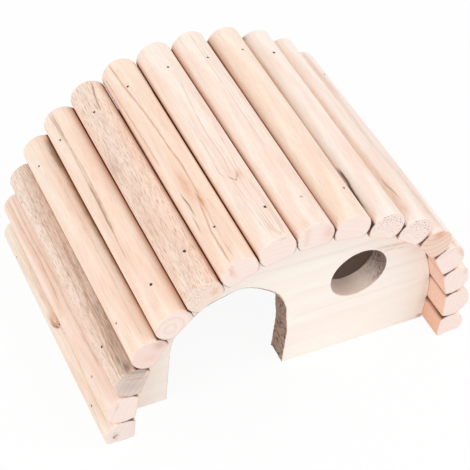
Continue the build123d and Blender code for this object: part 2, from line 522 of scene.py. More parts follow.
def drawn_steel(name, tints):
    """Drawn steel wire, dulled by air and the punch: dark, with faint lighter scuffs."""
    material, tree = new_material(name)
    place = add(tree, "TexCoord").outputs["Object"]
    noise = add(tree, "TexNoise", {"Vector": place, "Scale": 1 / (0.35 * MM), "Detail": 3.0})
    scuffs = add(tree, "MapRange", {0: noise, 1: 0.45, 2: 0.75})
    colour = coats(tree, tints["steel"], [(scuffs, 1.0, linear("#6f6863"))])
    rough = add(tree, "MapRange", {0: scuffs, 3: 0.55, 4: 0.4})
    surface = add(tree, "BsdfPrincipled", {
        "Base Color": colour, "Roughness": rough, "Metallic": 0.8})
    add(tree, "OutputMaterial", {"Surface": surface})
    return material


def shared_tints(scene):
    """The tints as linear colours, by name."""
    group = scene.hamster_house_tints
    return {key: (*getattr(group, key), 1.0) for key in WoodTints.__annotations__}


# ==== slats =====================================================================
# What kinds of stick the house is made of. early, warm and late are the tones of
# its wood; pith says where the tree's heart lies, in millimetres across and below;
# ring is the width of a year's growth in millimetres. The rest is how strongly
# each mark shows, the painted shade of the joints among them. Pores are strokes of
# pore_length by pore_width millimetres along the grain, and the higher their rarity,
# the fewer there are. joint_top is how far up its sides the painted shade of the joints
# reaches, as a share of its height, and dots is how open the holes over its front and
# rear brads are. askew is how far its front and rear ends lie towards the next stick
# from true, in millimetres. flats are facets planed on the back: an angle from the crown
# in degrees and a depth in millimetres.
PLAIN = {
    "early": "#ffeddd", "warm": "#fbe0ca", "late": "#d29a74", "end": "#f8e4db",
    "pith": (6, 22), "lean": (1.5, -1.0), "ring": 2.6,
    "rings": 0.08, "fibre": 0.07, "threads": 0.1, "pores": 0.1,
    "pore_length": 3.0, "pore_width": 0.45, "pore_rarity": 0.6,
    "side": 0.45, "painted_joint_shade": 0.85, "joint_top": 0.48, "dots": (1.0, 1.0), "askew": (0, 0),
    "end_rings": 0.05, "specks": 0.06, "flats": [],
}
KINDS = {
    "peach": {},
    "cream": {"early": "#fff2e3", "warm": "#fae9d8", "late": "#bd9670", "rings": 0.16,
              "threads": 0.18},
    "pink": {"early": "#feebdc", "warm": "#fae0ce", "late": "#c08a6a", "rings": 0.06},
    "pale": {"early": "#fff2e6", "warm": "#fce9db", "late": "#cfa184", "rings": 0.08,
             "threads": 0.14},
    "white": {"early": "#fff4ec", "warm": "#fbeae0", "late": "#dcae94", "rings": 0.08,
              "threads": 0.08, "fibre": 0.06, "pores": 0.06},
    "fair": {"early": "#fff4e9", "warm": "#feeee2", "late": "#dcac8f", "rings": 0.06,
             "threads": 0.06, "fibre": 0.06, "pores": 0.06},
    "weathered": {"early": "#feeadb", "warm": "#f9e1d0", "late": "#9c7457", "end": "#e4d2c9",
                  "rings": 0.08, "pores": 0.52, "pore_length": 2.1, "pore_width": 0.22,
                  "pore_rarity": 0.56, "fibre": 0.1, "threads": 0.18, "end_rings": 0.14},
    "freckled": {"early": "#feeadb", "warm": "#fae0ce", "late": "#a97a58", "end": "#f5dfd0",
                 "pores": 0.52, "pore_length": 2.1, "pore_width": 0.2, "pore_rarity": 0.57,
                 "fibre": 0.08, "threads": 0.14},
}

VEIN, WEATHER, RESIN, CRACK = range(4)

# Where the points of a piece lie, in millimetres: across it, up from its flat inner
# face and along it from its front end. drift is how far its marks wander there, and
# ragged how far the edges of those on its front end do.
Places = namedtuple("Places", "across up along drift ragged")

FADE = 3.0          # a streak fades out over this far either side of its ends
FACE_CLEAR = 2.0    # marks on the back stay above this, off the flat inner face
END_DEPTH = 0.6     # marks on the front end reach this far along the piece
# The dark of a punched hole is painted shade in the hole, together with the brad's stain.
HOLE_DARK = 0.8     # a punched hole is this much as dark as a crack

# The end grain shows up to the first of these shares of an end's size, and is gone
# at the second.
END_GRAIN = (0.93, 0.999)


def bell(first, second, half_first, half_second):
    """A bell curve in two ways about 0, of these half sizes."""
    return np.exp(-(first / half_first) ** 2 - (second / half_second) ** 2)


def streak(channel, depth, width, *way):
    """A mark along the grain: a bell curve of this width about its way, which runs
    through places (from the front, across) in mm. It fades at both ends."""
    places, sides = np.array(way, float).T

    def share(at):
        middle = np.interp(at.along, places, sides) + at.drift
        fade = ease(at.along, places[0] - FADE, places[0] + FADE)
        fade = fade * (1 - ease(at.along, places[-1] - FADE, places[-1] + FADE))
        return fade * (at.up > FACE_CLEAR) * np.exp(-((at.across - middle) / width) ** 2)

    return channel, depth, share


def patch(channel, depth, along, across, half_along, half_across):
    """A smudge on the back with its middle at (along, across) and half sizes in mm."""
    def share(at):
        spot = bell(at.along - along, at.across + at.drift - across, half_along, half_across)
        return spot * (at.up > FACE_CLEAR)

    return channel, depth, share


def end_patch(channel, depth, across, up, half_across, half_up):
    """A smudge on the front end with its middle at (across, up) and half sizes in mm."""
    def share(at):
        spot = bell(at.across + at.ragged - across, at.up + at.ragged - up, half_across, half_up)
        return spot * (at.along < END_DEPTH)

    return channel, depth, share


def nest(channel, depth, width, tip, middle, half, reach, lines=3, gap=2.6, spread=0.012):
    """Growth lines cut across by the plane: U shapes inside each other, open to the
    rear. The outermost has its tip at this place from the front and half this
    width, its arms spread by this slope and they fade out at reach. Each next one
    starts a gap further on. A line's arm stands off by half * (1 - e^(-x / half)),
    x past its tip, and the line is a bell curve about it."""
    def share(at):
        strongest = np.zeros(at.across.shape)
        off = at.across - middle - at.drift
        for number in range(lines):
            inner_half = half * (1 - number / (lines + 0.5))
            beyond = at.along - tip - number * gap
            past = np.maximum(beyond, 0)
            arm = inner_half * (1 - np.exp(-past / inner_half) + spread / half * past)
            beside = np.where(past > 0, abs(abs(off) - arm), np.inf)
            away = np.minimum(beside, np.hypot(off, beyond))
            strongest = np.maximum(strongest, np.exp(-(away / width) ** 2))
        return strongest * (1 - ease(at.along, tip, reach)) * (at.up > FACE_CLEAR)

    return channel, depth, share


# From the left foot over the top to the right foot: each stick's kind, what sets
# it apart from that kind, and the marks that it has in its own places.
STICKS = [
    ("cream", {"end": "#f2e2da"}, [
        streak(VEIN, 0.28, 0.3, (8, 6.3), (60, 6.6), (112, 6.5)),
        streak(VEIN, 0.22, 0.25, (4, 5.2), (50, 5.9), (100, 5.6)),
        streak(VEIN, 0.24, 0.3, (62, 5.2), (90, 6.0), (118, 5.8)),
        streak(VEIN, 0.22, 0.25, (64, 4.4), (90, 5.0), (118, 5.1)),
        patch(RESIN, 0.45, 62, 4.9, 3.4, 2.0), nest(VEIN, 1.0, 0.45, 56.6, 5.0, 2.4, 70, 2, 1.8),
        nest(CRACK, 0.7, 0.28, 56.6, 5.2, 1.9, 62, 1),
        end_patch(CRACK, 1.0, -0.2, 9.0, 0.7, 0.3), end_patch(CRACK, 1.0, 0.5, 8.4, 0.4, 0.5),
        end_patch(CRACK, 0.9, 1.0, 7.8, 0.3, 0.4), end_patch(VEIN, 0.5, 0.4, 8.4, 1.8, 1.2)]),
    ("pink", {"askew": (-0.35, 0), "dots": (0.6, 1.0)}, [
        streak(VEIN, 0.4, 0.35, (58, 4.1), (85, 4.8), (119, 4.0)),
        streak(VEIN, 0.3, 0.3, (20, 6.4), (60, 6.2), (119, 6.0)),
        streak(RESIN, 0.25, 1.4, (50, 3.0), (85, 3.4), (119, 2.8)),
        end_patch(WEATHER, 0.2, 2.5, 9.0, 3.0, 0.7)]),
    ("weathered", {"painted_joint_shade": 1.0, "joint_top": 0.58, "askew": (-0.7, 0)}, [
        streak(WEATHER, 0.54, 1.8, (-4, 5.6), (20, 6.1), (38, 6.7)),
        streak(WEATHER, 0.28, 2.4, (-4, 4.6), (40, 5.6), (66, 6.9)),
        streak(WEATHER, 0.18, 2.4, (-4, 4.0), (80, 5.8), (118, 6.4)),
        streak(VEIN, 0.5, 0.3, (0, 3.2), (30, 4.6), (70, 6.3)),
        streak(VEIN, 0.4, 0.25, (0, 1.8), (40, 3.0), (110, 4.2)),
        streak(VEIN, 0.4, 0.25, (0, 4.6), (40, 5.6), (80, 6.6)),
        patch(CRACK, 0.5, 3, 5.6, 2.4, 0.6), patch(CRACK, 0.4, 8, 4.6, 2.6, 0.5),
        end_patch(WEATHER, 0.3, -2.0, 6.0, 5.0, 6.0), end_patch(VEIN, 0.5, 2.0, 5.0, 0.5, 4.5)]),
    ("peach", {"end": "#f4dbd2", "painted_joint_shade": 1.0, "joint_top": 0.56, "askew": (-1.05, -0.2)}, [
        streak(VEIN, 0.18, 0.3, (4, 4.4), (60, 5.2), (118, 5.0)),
        # These CRACK and VEIN streaks at 7.2 to 7.4 mm across are painted shade, on the side that meets
        # the fifth stick.
        streak(CRACK, 0.42, 0.5, (4, 7.3), (60, 7.4), (116, 7.4)),
        streak(VEIN, 0.6, 0.75, (4, 7.2), (60, 7.2), (116, 7.2)),
        end_patch(VEIN, 0.4, 4.2, 4.0, 2.2, 2.8), end_patch(RESIN, 0.2, -3.0, 4.5, 2.2, 3.0)]),
    ("peach", {"pith": (1.0, -6.6), "ring": 3.1, "end_rings": 0.2, "painted_joint_shade": 1.0,
               "askew": (-1.25, -0.2)}, [
        streak(WEATHER, 0.5, 0.6, (48, -0.5), (58, 0.0), (74, 0.2)),
        streak(CRACK, 0.4, 0.16, (50, -0.7), (60, -0.5), (70, 0.0)),
        streak(VEIN, 0.75, 0.24, (49, -0.7), (60, -0.5), (74, 0.0)),
        streak(VEIN, 0.5, 0.3, (34, -1.2), (42, -0.9), (50, -0.6)),
        streak(VEIN, 0.52, 0.28, (60, -0.1), (74, 0.3), (96, 0.9), (119, 1.4)),
        streak(VEIN, 0.46, 0.28, (60, 0.6), (84, 1.6), (119, 0.2)),
        streak(RESIN, 0.13, 2.0, (5, 0), (60, 0.2), (116, 0)),
        patch(WEATHER, 0.35, 110, 0.9, 9, 0.9)]),
    ("freckled", {"specks": 0.6, "askew": (-1.2, 0)}, [
        patch(WEATHER, 0.36, 73, -4.6, 7, 2.4), patch(VEIN, 0.16, 40, -4.0, 22, 4.0),
        streak(VEIN, 0.12, 2.2, (5, 0), (60, 0.4), (116, 0)),
        streak(CRACK, 0.5, 0.18, (103, 3.2), (111, 4.0), (118, 5.0)),
        streak(VEIN, 0.5, 0.4, (103, 3.2), (111, 4.0), (118, 5.0)),
        end_patch(RESIN, 0.4, 3.0, 4.5, 1.6, 1.6)]),
    ("peach", {"painted_joint_shade": 1.0, "joint_top": 0.51, "askew": (-1.2, 0.2)}, [
        streak(RESIN, 0.48, 0.5, (2, -2.5), (18, -2.3), (30, -1.0), (37, 1.0), (52, 1.5),
               (78, 0.6), (100, -0.8), (119, -1.8)),
        streak(VEIN, 0.44, 0.24, (2, -2.6), (18, -2.4), (30, -1.1), (37, 0.9), (52, 1.4),
               (78, 0.5), (100, -0.9), (119, -1.9)),
        streak(VEIN, 0.36, 0.25, (3, -0.4), (22, -0.2), (34, 0.6)),
        streak(RESIN, 0.13, 2.2, (5, 0.5), (60, 0.5), (116, -0.5)),
        patch(RESIN, 0.8, 33, 0.4, 5, 1.1), patch(RESIN, 0.5, 43, -1.4, 9, 2.0),
        streak(CRACK, 0.9, 0.2, (30, -4.7), (34, -4.4), (40, -4.9)),
        streak(CRACK, 0.7, 0.16, (22, -5.9), (28, -5.7)),
        streak(VEIN, 0.4, 0.3, (60, -5.8), (90, -6.2), (116, -6.0)),
        end_patch(RESIN, 0.4, -3.4, 8.2, 0.6, 3.4), end_patch(VEIN, 0.5, -4.4, 8.0, 0.3, 2.6)]),
    ("pale", {"side": 0.36, "painted_joint_shade": 1.0, "joint_top": 0.5, "askew": (-1.3, 0.4)}, [
        nest(VEIN, 0.85, 0.28, 33.8, -1.4, 2.4, 40, 1), patch(RESIN, 0.35, 36, 0.4, 2.0, 1.6),
        streak(VEIN, 0.46, 0.17, (37, -1.9), (46, -0.9), (62, -1.0), (80, 0.4), (92, 1.8)),
        streak(VEIN, 0.34, 0.18, (37, -4.2), (41, -5.2), (48, -4.8), (57, -4.3), (72, -4.2)),
        streak(VEIN, 0.34, 0.16, (38, 1.6), (48, 2.6), (57, 3.2), (66, 4.3)),
        streak(VEIN, 0.3, 0.16, (38, 0.4), (46, 0.6), (58, 0.2)),
        streak(VEIN, 0.26, 0.16, (38, -3.0), (48, -2.9), (62, -2.6)),
        streak(VEIN, 0.3, 0.18, (4, -1.6), (20, -1.8), (34, -2.6)),
        streak(VEIN, 0.26, 0.18, (6, -2.8), (30, -3.4)),
        nest(VEIN, 0.45, 0.18, 1.2, 1.5, 2.3, 44, 2, 1.4), end_patch(VEIN, 0.3, 1.6, 11.6, 1.2, 0.6)]),
    ("pale", {"side": 0.45, "dots": (0.6, 1.0), "askew": (-1.4, 0.4)}, [
        streak(VEIN, 0.28, 0.24, (46, -1.2), (80, -0.8), (118, -0.3)),
        streak(VEIN, 0.2, 0.24, (56, 0.2), (80, 0.6), (110, 0.9)),
        patch(RESIN, 0.3, 3, -5.5, 4, 1.2), end_patch(RESIN, 0.3, 4.0, 6.0, 2.4, 4.0)]),
    ("peach", {"early": "#ffefdf", "warm": "#fce3ce", "rings": 0.05, "threads": 0.06,
               "side": 0.3, "joint_top": 0.52, "dots": (0.6, 1.0), "askew": (-1.3, 1.2)}, []),
    ("fair", {"flats": [(-28, 0.3)], "specks": 0.9, "joint_top": 0.56, "side": 0.55, "dots": (0.1, 0.8),
              "askew": (-0.6, 1.8)}, [
        patch(CRACK, 0.85, 119.5, -6.2, 2.6, 0.9), patch(VEIN, 0.3, 98, -6.6, 16, 0.8),
        streak(CRACK, 0.95, 0.18, (10, -7.9), (17, -7.85), (24, -7.65), (31, -7.5))]),
    ("fair", {"flats": [(20, 0.4)], "specks": 0.9, "joint_top": 0.56, "dots": (0.1, 0.3),
              "askew": (0, 1.2)}, [
        streak(CRACK, 0.35, 0.14, (16, -5.2), (19, -5.6), (22, -6.2)),
        streak(VEIN, 0.45, 0.22, (14, -4.9), (19, -5.5), (25, -6.3)),
        streak(RESIN, 0.42, 1.2, (6, -6.2), (60, -6.2), (124, -6.2))]),
    ("white", {"end": "#f0d3c2", "end_rings": 0.5, "pith": (8, -12),
               "dots": (0.3, 0.3), "askew": (0.2, 0.8)}, [
        streak(VEIN, 0.2, 0.9, (0, -4.0), (50, -4.6), (118, -4.4)),
        streak(RESIN, 0.2, 1.2, (88, -3.0), (118, -3.6)),
        end_patch(RESIN, 0.5, -3.4, 9.0, 2.6, 2.2)]),
    ("white", {"side": 0.65, "flats": [(10, 0.5)], "dots": (0.3, 0.3), "askew": (0.2, 0.4)}, [
        streak(RESIN, 0.3, 0.8, (0, -5.2), (60, -5.8), (118, -6.0)),
        end_patch(RESIN, 0.4, 0.0, 11.4, 5.0, 0.9)]),
    ("fair", {"side": 0.55, "flats": [(2, 1.3), (-38, 0.4)], "askew": (0.2, 0)}, [
        end_patch(RESIN, 0.3, -2.0, 10.8, 1.6, 0.8)]),
    ("pink", {"flats": [(-8, 0.7)], "askew": (0.1, 0)}, [
        streak(RESIN, 0.3, 3.0, (5, -4.5), (60, -4.0), (124, -4.5))]),
    ("fair", {"side": 0.7}, []),
]


def marks_of(figures, across, up, along, seed):
    """How strongly each of four kinds of mark shows at each point: the strongest of
    a piece's own marks of that kind. All wander with a smooth random drift."""
    drift = 0.25 * smooth_noise(along / 13, seed, seed) + 0.06 * smooth_noise(along / 3, 3, seed)
    ragged = 0.5 * smooth_noise(across / 1.3, up / 1.3, seed + 50)
    at = Places(across, up, along, drift, ragged)
    strengths = np.zeros((*across.shape, 4))
    for channel, depth, share in figures:
        strengths[..., channel] = np.maximum(strengths[..., channel], depth * share(at))
    return strengths


def stick_outline(sizes, brads_across):
    """Outline of a planed round stick, counter-clockwise, in (across, up): the flat
    inner face, an eased arris, the round back over the crown and the other arris.
    Its points lie closer where the brads are."""
    radius = SLAT_WIDTH / 2
    eased = sizes.arris
    corner = math.sqrt((radius - eased) ** 2 - (SLAT_CENTRE - eased) ** 2)
    start = math.atan2(eased - SLAT_CENTRE, corner)
    crowns = [(math.acos(place / radius) - start) * radius for place in brads_across]
    way = spaced((math.pi - 2 * start) * radius, crowns, 1.1 * MM, BRAD_STEP, BACK_STEP)
    turn = start + way / radius
    back = np.stack([radius * np.cos(turn), SLAT_CENTRE + radius * np.sin(turn)], 1)
    right = arc((corner, eased), eased, -math.pi / 2, start, 0.2 * MM)
    bottom = line((-corner, 0), (corner, 0), LONG_STEP)
    return one_loop([bottom, right, back, right[::-1] * (-1, 1)])


def sawn_off(outline, height, worn):
    """The outline without what lies below the ground. height gives each point's
    height above it. A straight saw cut joins the two points where the outline
    crosses it, and both corners are worn off over a short reach: a parabola runs from
    side to side, drawn towards the corner."""
    first = np.flatnonzero((height >= 0) & (np.roll(height, 1) < 0))[0]
    loop, height = np.roll(outline, -first, 0), np.roll(height, -first)
    count = int((height >= 0).sum())
    ends = []
    for inner, outer in ((count - 1, count), (0, -1)):
        share = height[inner] / (height[inner] - height[outer])
        ends.append(loop[inner] * (1 - share) + loop[outer] * share)
    along_cut = (ends[1] - ends[0]) / np.linalg.norm(ends[1] - ends[0]) * worn
    clear = np.minimum(*[np.linalg.norm(loop[:count] - end, axis=1) for end in ends])
    kept = loop[:count][clear > worn]
    foot = line(ends[0] + along_cut, ends[1] - along_cut, LONG_STEP)
    share = np.linspace(0, 1, 8)[:, None]
    turns = ((kept[-1], ends[0], foot[0]), (foot[-1], ends[1], kept[0]))
    corners = [before * (1 - share) ** 2 + 2 * corner * share * (1 - share) + after * share ** 2
               for before, corner, after in turns]
    return one_loop([kept, corners[0], foot, corners[1]])


def press_flats(across, up, flats):
    """Presses the round back down onto planed flats. A point that lies beyond a
    flat is moved back to it; log(1 + e^x) softens the flat's edge."""
    soft = 0.12 * MM
    for angle, depth in flats:
        way = (math.sin(math.radians(angle)), math.cos(math.radians(angle)))
        reach = across * way[0] + (up - SLAT_CENTRE) * way[1]
        beyond = (reach - SLAT_WIDTH / 2 + depth * MM) / soft
        push = soft * np.logaddexp(0, beyond)
        across, up = across - way[0] * push, up - way[1] * push
    return across, up


def slat_rows(sizes, brads_along):
    """Rings of a slat from its front end's middle to its rear end's: how far each
    lies along the slat, and how large its outline is, from small at the middle of
    an end to whole on the back. Rings lie closer where the brads are."""
    chamfer = sizes.end_chamfer
    shrink = chamfer / (SLAT_WIDTH / 2)
    cap = [(0.0, share) for share in np.linspace(0.08, 1 - 2.2 * shrink, 14)]
    rim = [(0.0, 1 - shrink), (chamfer * 0.3, 1 - shrink * 0.3), (chamfer, 1.0)]
    body = spaced(SLAT_LENGTH, brads_along, 1.2 * MM, BRAD_STEP, LONG_STEP)
    body = body[(body > 2 * chamfer) & (body < SLAT_LENGTH - 2 * chamfer)]
    front = np.array(cap + rim)
    rear = front[::-1] * (-1, 1) + (SLAT_LENGTH, 0)
    return np.concatenate([front, np.stack([body, np.ones(len(body))], 1), rear]).T


def slat_seat(row):
    """Where one slat's inner face has its middle, and the angle it faces out at."""
    last = len(SLAT_NAMES) - 1
    if row in (0, last):
        angle = math.pi if row == 0 else 0.0
        return np.array([math.cos(angle) * ARCH_RADIUS, FOOT_HEIGHT - SLAT_WIDTH / 2]), angle
    angle = math.pi - (row - 0.5) * math.pi / ARCH_SLATS
    way = np.array([math.cos(angle), math.sin(angle)])
    return np.array([0, LEG_HEIGHT]) + ARCH_RADIUS * way, angle


def turned(across, up, angle):
    """Places of a slat, turned about the middle of the arch towards the next slat."""
    reach = up + ARCH_RADIUS
    return (across * np.cos(angle) + reach * np.sin(angle),
            reach * np.cos(angle) - across * np.sin(angle) - ARCH_RADIUS)


def askew_angle(stock, along):
    """How far a slat is turned at each place along it, in radians. It is nailed
    askew, so this runs evenly from its front end to its rear end."""
    ends = np.array(stock["askew"]) * MM / (ARCH_RADIUS + SLAT_HEIGHT / 2)
    return ends[0] + (ends[1] - ends[0]) * along / SLAT_LENGTH


def brads_in(seat, side, out, stock):
    """(across, along) of the brads' heads in one slat, read from the frame: the
    mean of each brad's points that lie highest in the slat, turned back by as much
    as the slat lies askew."""
    found = []
    for name in ("front_brads", "rear_brads"):
        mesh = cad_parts[name].data
        points = np.empty(len(mesh.vertices) * 3, np.float32)
        mesh.vertices.foreach_get("co", points)
        points = points.reshape(-1, 3)
        local = points[:, [0, 2]] - seat
        across, up = local @ side, local @ out
        near_top = (up > SLAT_HEIGHT * 0.75) & (up < SLAT_HEIGHT)
        head = near_top & (abs(across) < SLAT_WIDTH / 2)
        along = points[head, 1].mean() + SLAT_LENGTH / 2
        true_across, _ = turned(across[head].mean(), up[head].mean(), -askew_angle(stock, along))
        found.append((true_across, along))
    return found


def punched(across, along, brads, radius):
    """1 in the punched holes above the brads' heads, 0 clear of them."""
    pits = [1 - ease(np.hypot(across - place[0], along - place[1]), 0.85 * radius, 1.1 * radius)
            for place in brads]
    return np.maximum(*pits)


def with_tips(grid):
    """A slat's rings as one list of points, and after them the tip of each end: the
    mean of its smallest ring."""
    rings = grid.reshape(-1, grid.shape[2])
    return np.concatenate([rings, grid[:1].mean(1), grid[-1:].mean(1)])


def end_fans(rows, columns):
    """Triangles that close both ends of a slat: a fan about each tip."""
    first = np.arange(columns)
    after = (first + 1) % columns
    last = (rows - 1) * columns
    tip = np.full(columns, rows * columns)
    front = np.stack([first, after, tip], 1)
    rear = np.stack([last + after, last + first, tip + 1], 1)
    return np.concatenate([front, rear])


def dried(grain, share, sizes, row):
    """How far planing and drying drew a slat's back in: a long wobble, and short
    ripples along the fibres. The sides that meet the neighbours and the flat inner
    face stay true. grain is each point's place across, up and along the stick."""
    across, up, along = np.moveaxis(grain, 2, 0)
    cells_around = 6
    around = np.arange(grain.shape[1]) / grain.shape[1] * cells_around
    wobble = 0.5 + 0.5 * smooth_noise(along / (26 * MM), around[None, :], 101 + row)
    ripple = 0.5 + 0.5 * smooth_noise(along / (8 * MM), across / (1.3 * MM), 201 + row)
    free = ease(up, 4.5 * MM, 8 * MM) * share
    return sizes.wobble * (wobble + 0.25 * ripple) * free


def sawn_ends(grain, sizes, row):
    """Where the points lie along a slat once it is cut: the saw left its ends a
    little out of square, and not quite flat."""
    across, up, along = np.moveaxis(grain, 2, 0)
    saw = smooth_noise(across / (1.1 * MM), up / (3 * MM), 301 + row)
    skew = smooth_noise(across / (16 * MM), up / (16 * MM) + 0.5, 401 + row)
    depth = sizes.end_stray * (0.5 + 0.5 * skew) + 0.05 * MM * (1 + saw)
    near = 1 - ease(np.minimum(along, SLAT_LENGTH - along), 0, 6 * MM)
    return along + np.where(along < SLAT_LENGTH / 2, 1, -1) * near * depth


def build_slat(row, sizes, tints):
    """One stick. Its outline is carried along its length, drawn in to nothing at
    both ends, and pushed in a little by smooth noise, so that no two are alike."""
    name = SLAT_NAMES[row]
    kind, own, figures = STICKS[row]
    stock = {**PLAIN, **KINDS[kind], **own}
    seat, angle = slat_seat(row)
    side = np.array([math.sin(angle), -math.cos(angle)])
    out = np.array([math.cos(angle), math.sin(angle)])
    brads = brads_in(seat, side, out, stock)
    outline = stick_outline(sizes, [place for place, _ in brads])
    if row in (0, len(SLAT_NAMES) - 1):
        outline = sawn_off(outline, seat[1] + side[1] * outline[:, 0], sizes.foot_wear)

    middle = (outline.min(0) + outline.max(0)) / 2
    along, share = slat_rows(sizes, [place for _, place in brads])
    share = share[:, None]
    whole = middle + (outline - middle) * share[..., None]
    across, up = whole[..., 0], whole[..., 1]
    along = np.broadcast_to(along[:, None], across.shape)
    grain = np.stack([across, up, along], 2)
    open_share = np.where(along < SLAT_LENGTH / 2, *stock["dots"])
    pits = punched(across, along, brads, sizes.punch_radius) * (up > SLAT_WIDTH / 2) * open_share
    push = -dried(grain, share, sizes, row) - sizes.punch_depth * pits
    normals = edge_normals(outline)
    across, up = press_flats(across + normals[:, 0] * push, up + normals[:, 1] * push,
                             stock["flats"])

    y = sawn_ends(grain, sizes, row)
    lean = askew_angle(stock, y)
    across, up = turned(across, up, lean)
    points = np.stack([
        seat[0] + side[0] * across + out[0] * up,
        y - SLAT_LENGTH / 2,
        seat[1] + side[1] * across + out[1] * up,
    ], 2)
    places = np.stack([*turned(grain[..., 0], grain[..., 1], lean), grain[..., 2]]) / MM
    marks = marks_of(figures, *places, row + 1)
    # The punched holes are painted dark: shade in the hole, together with the brad's stain.
    marks[..., CRACK] = np.maximum(marks[..., CRACK], HOLE_DARK * pits)
    cut = np.broadcast_to(1 - ease(share, *END_GRAIN), across.shape)[..., None]
    piece = mesh_object(
        f"{name}_wood", with_tips(points), tube_quads(*across.shape), end_fans(*across.shape),
        {"grain": with_tips(grain), "marks": with_tips(marks), "cut": with_tips(cut)},
        raw_softwood(f"raw_softwood_{row + 1:02d}", stock, tints))
    dress(piece, name)


class HOUSE_OT_slats(bpy.types.Operator):
    """Make the slats from planed round sticks, from the left foot over the top to the right"""

    bl_idname = "hamster_house.slats"
    bl_label = "Slats"

    def execute(self, context):
        tints = shared_tints(context.scene)
        for row in range(len(SLAT_NAMES)):
            build_slat(row, context.scene.hamster_house_slats, tints)
        return {"FINISHED"}


# ==== boards ====================================================================
# Marks on the front board's face, in its own places. Its grain runs level, so each
# place is (across the house from its middle, up from the ground) in mm.
BOARD_MARKS = [
    streak(VEIN, 0.42, 0.7, (38, 55.2), (44, 54.2), (52, 53.6), (56, 50.5)),
    streak(VEIN, 0.3, 0.4, (40, 52.4), (47, 51.8), (54, 50.4)),
    streak(VEIN, 0.1, 0.7, (-20, 61.3), (20, 60.4), (48, 61.0)),
    streak(VEIN, 0.08, 0.7, (2, 41.8), (40, 40.6), (62, 40.0)),
    streak(VEIN, 0.08, 0.6, (4, 27.8), (30, 28.4), (62, 27.6)),
    # These two VEIN patches are painted shade: right of the window, and down the board's right edge
    # under the slats.
    patch(VEIN, 0.2, 61.0, 49, 6.0, 5.0), patch(VEIN, 0.22, 68.4, 20, 2.4, 18),
    patch(CRACK, 0.7, 68.8, 1.2, 1.3, 0.9), patch(CRACK, 0.4, 68.6, 25.6, 0.7, 0.5),
]

# How rough the walls are sawn: round the doorway, in the window, and elsewhere.
JIGSAWN, BORED, TRIMMED = 1.0, 0.6, 0.3


def arch_loop(sizes, doorway, step):
    """Outline of a board, counter-clockwise from its right foot: up the leg, over
    the half circle, down, and back along the ground, round the doorway if it has
    one. Also says how rough each point's wall was jigsawn."""
    radius, leg = ARCH_RADIUS, LEG_HEIGHT
    outer = [
        line((radius, 0), (radius, leg), step),
        arc((0, leg), radius, 0, math.pi, step),
        line((-radius, leg), (-radius, 0), step),
    ]
    if not doorway:
        loop = one_loop([*outer, line((-radius, 0), (radius, 0), 2 * step)])
        return loop, np.zeros(len(loop))
    half = sizes.doorway_width / 2
    left, right = sizes.doorway_x - half, sizes.doorway_x + half
    spring = sizes.doorway_height - half
    opening = one_loop([
        line((left, 0), (left, spring), step / 2),
        arc((sizes.doorway_x, spring), half, math.pi, 0, step / 2),
        line((right, spring), (right, 0), step / 2),
    ])
    before = one_loop([*outer, line((-radius, 0), (left, 0), 2 * step)])[:-1]
    after = line((right, 0), (radius, 0), 2 * step)[1:-1]
    sawn = np.zeros(len(before) + len(opening) + len(after))
    sawn[len(before):len(before) + len(opening)] = JIGSAWN
    return np.concatenate([before, opening, after]), sawn


def wall_rows(loop, sizes, front, sawn, seed):
    """Points of a board's wall, a grid of depth by outline: drawn in a little at
    both faces for the worn arris, and roughened by smooth noise where it was sawn.
    Saw marks run across the thickness, so the noise is long that way. At both of
    the doorway's shoulders the saw left wood standing."""
    arris, rows = sizes.arris, 24
    body = np.linspace(arris, BOARD_THICKNESS - arris, rows)
    depths = np.array([0, arris * 0.4, *body, BOARD_THICKNESS - arris * 0.4, BOARD_THICKNESS])
    draw = np.array([arris, arris * 0.4, *np.zeros(len(body)), arris * 0.4, arris])
    normals = edge_normals(loop)
    step = np.linalg.norm(np.roll(loop, -1, 0) - loop, axis=1)
    run = np.cumsum(step) - step
    marks = smooth_noise(run[None, :] / (0.9 * MM), depths[:, None] / (3.5 * MM), seed)
    marks = marks + 0.6 * smooth_noise(run[None, :] / (2.3 * MM), depths[:, None] / (2 * MM), seed + 1)
    inner = ease(depths, 0, 3 * arris) * ease(BOARD_THICKNESS - depths, 0, 3 * arris)
    nibbled = (0.6 + 0.4 * inner)[:, None] * sawn[None, :]
    off_centre = loop[:, 0] - sizes.doorway_x
    right = ease(loop[:, 1], 18 * MM, 32 * MM) * ease(off_centre, 2 * MM, 15 * MM)
    left = ease(loop[:, 1], 38 * MM, 47 * MM) * ease(-off_centre, 0, 5 * MM)
    standing = (sizes.right_stray * right + sizes.left_stray * left) * (sawn == JIGSAWN)
    off_ground = loop[:, 1] > 0
    push = standing[None, :] - draw[:, None] * off_ground[None, :]
    push = push - sizes.saw_marks * nibbled * (0.8 + 0.5 * marks)
    x = loop[None, :, 0] + normals[None, :, 0] * push
    z = np.maximum(loop[None, :, 1] + normals[None, :, 1] * push, 0)
    return np.stack([x, np.broadcast_to(front + depths[:, None], x.shape), z], 2)


def face_points(sizes, doorway):
    """A net of (x, z) points that lie on a board's face, and clear of its outline,
    its doorway and its window. Every other row is shifted by half a step."""
    clear, row_step = 0.9 * MM, FACE_STEP * 0.87
    x, z = np.meshgrid(np.arange(-ARCH_RADIUS, ARCH_RADIUS, FACE_STEP),
                       np.arange(0, ARCH_RADIUS + LEG_HEIGHT, row_step))
    x = x + (np.arange(len(x)) % 2)[:, None] * FACE_STEP / 2
    good = (np.hypot(x, np.maximum(z - LEG_HEIGHT, 0)) < ARCH_RADIUS - clear) & (z > clear)
    if doorway:
        half = sizes.doorway_width / 2
        over = np.maximum(z - sizes.doorway_height + half, 0)
        good &= np.hypot(x - sizes.doorway_x, over) > half + clear
        good &= np.hypot(x - sizes.window_x, z - sizes.window_z) > sizes.window_radius + clear
    return np.stack([x[good], z[good]], 1)


